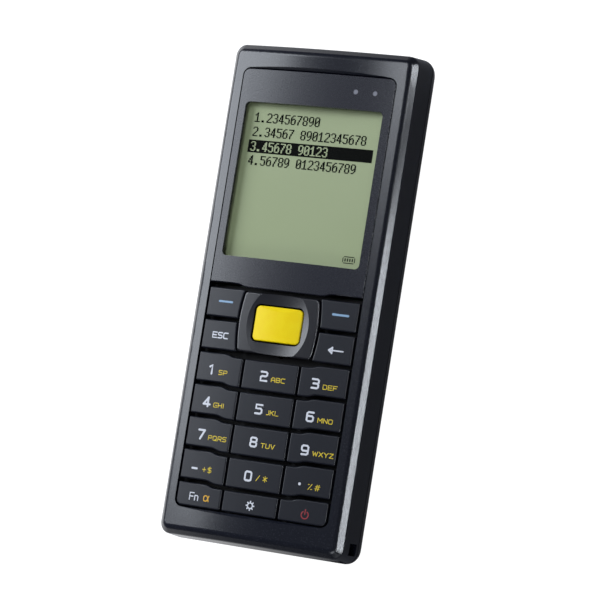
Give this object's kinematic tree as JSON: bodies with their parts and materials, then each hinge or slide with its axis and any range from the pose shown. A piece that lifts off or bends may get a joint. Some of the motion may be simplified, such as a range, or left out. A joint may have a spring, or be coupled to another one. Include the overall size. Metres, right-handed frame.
{
  "type": "barcode data terminal",
  "caption": "Handheld barcode data terminal with a display, a number keypad, a four-way pad, a scan key and a hinged battery door.",
  "frame": {"origin": "centre of the bounding box's bottom, on the surface that the terminal lies on", "axes": "+Z out of the face with the keys, +Y towards the scanning end, +X to the right seen from the front"},
  "size_m": [0.057, 0.136, 0.024],
  "materials": {
    "housing_black": "satin moulded plastic, fine grain",
    "housing_back": "satin moulded plastic, fine grain",
    "bezel_black": "smooth satin",
    "key_black": "matte coated key caps",
    "pad_black": "gloss",
    "scan_yellow": "semi gloss",
    "rubber_black": "matt",
    "clear_window": "clear, polished",
    "lcd_glass": "grey green display",
    "light_guide": "translucent",
    "backlight": "diffuser",
    "inner_frame": "matt",
    "ribbon": "amber film",
    "dome_steel": "thin steel",
    "board_green": "solder mask",
    "chip_black": "moulded",
    "steel_plated": "plated",
    "lens_glass": "polished",
    "lamp_lens": "clear red",
    "scan_window_red": "dark red filter, polished",
    "battery_wrap": "shrink wrap",
    "gold_contact": "gold plated",
    "catch_plastic": "acetal",
    "foam_grey": "closed-cell foam",
    "screw_steel": "black zinc"
  },
  "bodies": {
    "root": {"front_housing": "housing_black", "rear_housing": "housing_back", "case_seal": "rubber_black", "display_bezel": "bezel_black", "indicator_lenses": "light_guide", "display_window": "clear_window", "lcd_panel": "lcd_glass", "backlight_panel": "backlight", "lcd_frame": "inner_frame", "lcd_ribbon": "ribbon", "keypad_mat": "rubber_black", "dome_sheet": "dome_steel", "main_board": "board_green", "board_chips": "chip_black", "backup_cell": "steel_plated", "buzzer": "chip_black", "vibration_motor": "steel_plated", "scan_engine": "inner_frame", "scan_lens": "lens_glass", "aiming_lamps": "lamp_lens", "engine_bracket": "steel_plated", "scan_window": "scan_window_red", "battery_pack": "battery_wrap", "battery_contacts": "gold_contact", "door_hinge_pin": "steel_plated", "cradle_contacts": "gold_contact", "case_screws": "screw_steel", "board_screws": "screw_steel"},
    "key_soft_left_cap": {"key_soft_left": "key_black"},
    "key_soft_right_cap": {"key_soft_right": "key_black"},
    "key_escape_cap": {"key_escape": "key_black"},
    "key_backspace_cap": {"key_backspace": "key_black"},
    "key_1_cap": {"key_1": "key_black"},
    "key_2_cap": {"key_2": "key_black"},
    "key_3_cap": {"key_3": "key_black"},
    "key_4_cap": {"key_4": "key_black"},
    "key_5_cap": {"key_5": "key_black"},
    "key_6_cap": {"key_6": "key_black"},
    "key_7_cap": {"key_7": "key_black"},
    "key_8_cap": {"key_8": "key_black"},
    "key_9_cap": {"key_9": "key_black"},
    "key_minus_cap": {"key_minus": "key_black"},
    "key_0_cap": {"key_0": "key_black"},
    "key_point_cap": {"key_point": "key_black"},
    "key_function_cap": {"key_function": "key_black"},
    "key_backlight_cap": {"key_backlight": "key_black"},
    "key_power_cap": {"key_power": "key_black"},
    "scan_key_cap": {"key_scan": "scan_yellow"},
    "pad_gimbal": {"nav_gimbal": "inner_frame"},
    "pad_cap": {"nav_pad": "pad_black"},
    "battery_door": {"battery_door": "housing_back", "door_catch": "catch_plastic", "door_foam_pad": "foam_grey"}
  },
  "joints": [
    {"name": "key_soft_left_press", "type": "slide", "parent": "root", "child": "key_soft_left_cap", "axis": [0, 0, -1], "range_m": [0, 0.0006], "stiffness_N_per_m": 1200},
    {"name": "key_soft_right_press", "type": "slide", "parent": "root", "child": "key_soft_right_cap", "axis": [0, 0, -1], "range_m": [0, 0.0006], "stiffness_N_per_m": 1200},
    {"name": "key_escape_press", "type": "slide", "parent": "root", "child": "key_escape_cap", "axis": [0, 0, -1], "range_m": [0, 0.0006], "stiffness_N_per_m": 1200},
    {"name": "key_backspace_press", "type": "slide", "parent": "root", "child": "key_backspace_cap", "axis": [0, 0, -1], "range_m": [0, 0.0006], "stiffness_N_per_m": 1200},
    {"name": "key_1_press", "type": "slide", "parent": "root", "child": "key_1_cap", "axis": [0, 0, -1], "range_m": [0, 0.0006], "stiffness_N_per_m": 1200},
    {"name": "key_2_press", "type": "slide", "parent": "root", "child": "key_2_cap", "axis": [0, 0, -1], "range_m": [0, 0.0006], "stiffness_N_per_m": 1200},
    {"name": "key_3_press", "type": "slide", "parent": "root", "child": "key_3_cap", "axis": [0, 0, -1], "range_m": [0, 0.0006], "stiffness_N_per_m": 1200},
    {"name": "key_4_press", "type": "slide", "parent": "root", "child": "key_4_cap", "axis": [0, 0, -1], "range_m": [0, 0.0006], "stiffness_N_per_m": 1200},
    {"name": "key_5_press", "type": "slide", "parent": "root", "child": "key_5_cap", "axis": [0, 0, -1], "range_m": [0, 0.0006], "stiffness_N_per_m": 1200},
    {"name": "key_6_press", "type": "slide", "parent": "root", "child": "key_6_cap", "axis": [0, 0, -1], "range_m": [0, 0.0006], "stiffness_N_per_m": 1200},
    {"name": "key_7_press", "type": "slide", "parent": "root", "child": "key_7_cap", "axis": [0, 0, -1], "range_m": [0, 0.0006], "stiffness_N_per_m": 1200},
    {"name": "key_8_press", "type": "slide", "parent": "root", "child": "key_8_cap", "axis": [0, 0, -1], "range_m": [0, 0.0006], "stiffness_N_per_m": 1200},
    {"name": "key_9_press", "type": "slide", "parent": "root", "child": "key_9_cap", "axis": [0, 0, -1], "range_m": [0, 0.0006], "stiffness_N_per_m": 1200},
    {"name": "key_minus_press", "type": "slide", "parent": "root", "child": "key_minus_cap", "axis": [0, 0, -1], "range_m": [0, 0.0006], "stiffness_N_per_m": 1200},
    {"name": "key_0_press", "type": "slide", "parent": "root", "child": "key_0_cap", "axis": [0, 0, -1], "range_m": [0, 0.0006], "stiffness_N_per_m": 1200},
    {"name": "key_point_press", "type": "slide", "parent": "root", "child": "key_point_cap", "axis": [0, 0, -1], "range_m": [0, 0.0006], "stiffness_N_per_m": 1200},
    {"name": "key_function_press", "type": "slide", "parent": "root", "child": "key_function_cap", "axis": [0, 0, -1], "range_m": [0, 0.0006], "stiffness_N_per_m": 1200},
    {"name": "key_backlight_press", "type": "slide", "parent": "root", "child": "key_backlight_cap", "axis": [0, 0, -1], "range_m": [0, 0.0006], "stiffness_N_per_m": 1200},
    {"name": "key_power_press", "type": "slide", "parent": "root", "child": "key_power_cap", "axis": [0, 0, -1], "range_m": [0, 0.0006], "stiffness_N_per_m": 1200},
    {"name": "key_scan_press", "type": "slide", "parent": "root", "child": "scan_key_cap", "axis": [0, 0, -1], "range_m": [0, 0.0006], "stiffness_N_per_m": 1800},
    {"name": "nav_pad_up_down", "type": "hinge", "parent": "root", "child": "pad_gimbal", "pos_m": [0, -0.00815, 0.0188], "axis": [1, 0, 0], "range_deg": [-2.5, 2.5], "stiffness_Nm_per_rad": 0.6},
    {"name": "nav_pad_left_right", "type": "hinge", "parent": "pad_gimbal", "child": "pad_cap", "pos_m": [0, -0.00815, 0.0205], "axis": [0, 1, 0], "range_deg": [-2.5, 2.5], "stiffness_Nm_per_rad": 0.6},
    {"name": "battery_door_hinge", "type": "hinge", "parent": "root", "child": "battery_door", "pos_m": [0, -0.056, 0.0019], "axis": [-1, 0, 0], "range_deg": [0, 95], "deforming": ["door_catch"]}
  ]
}
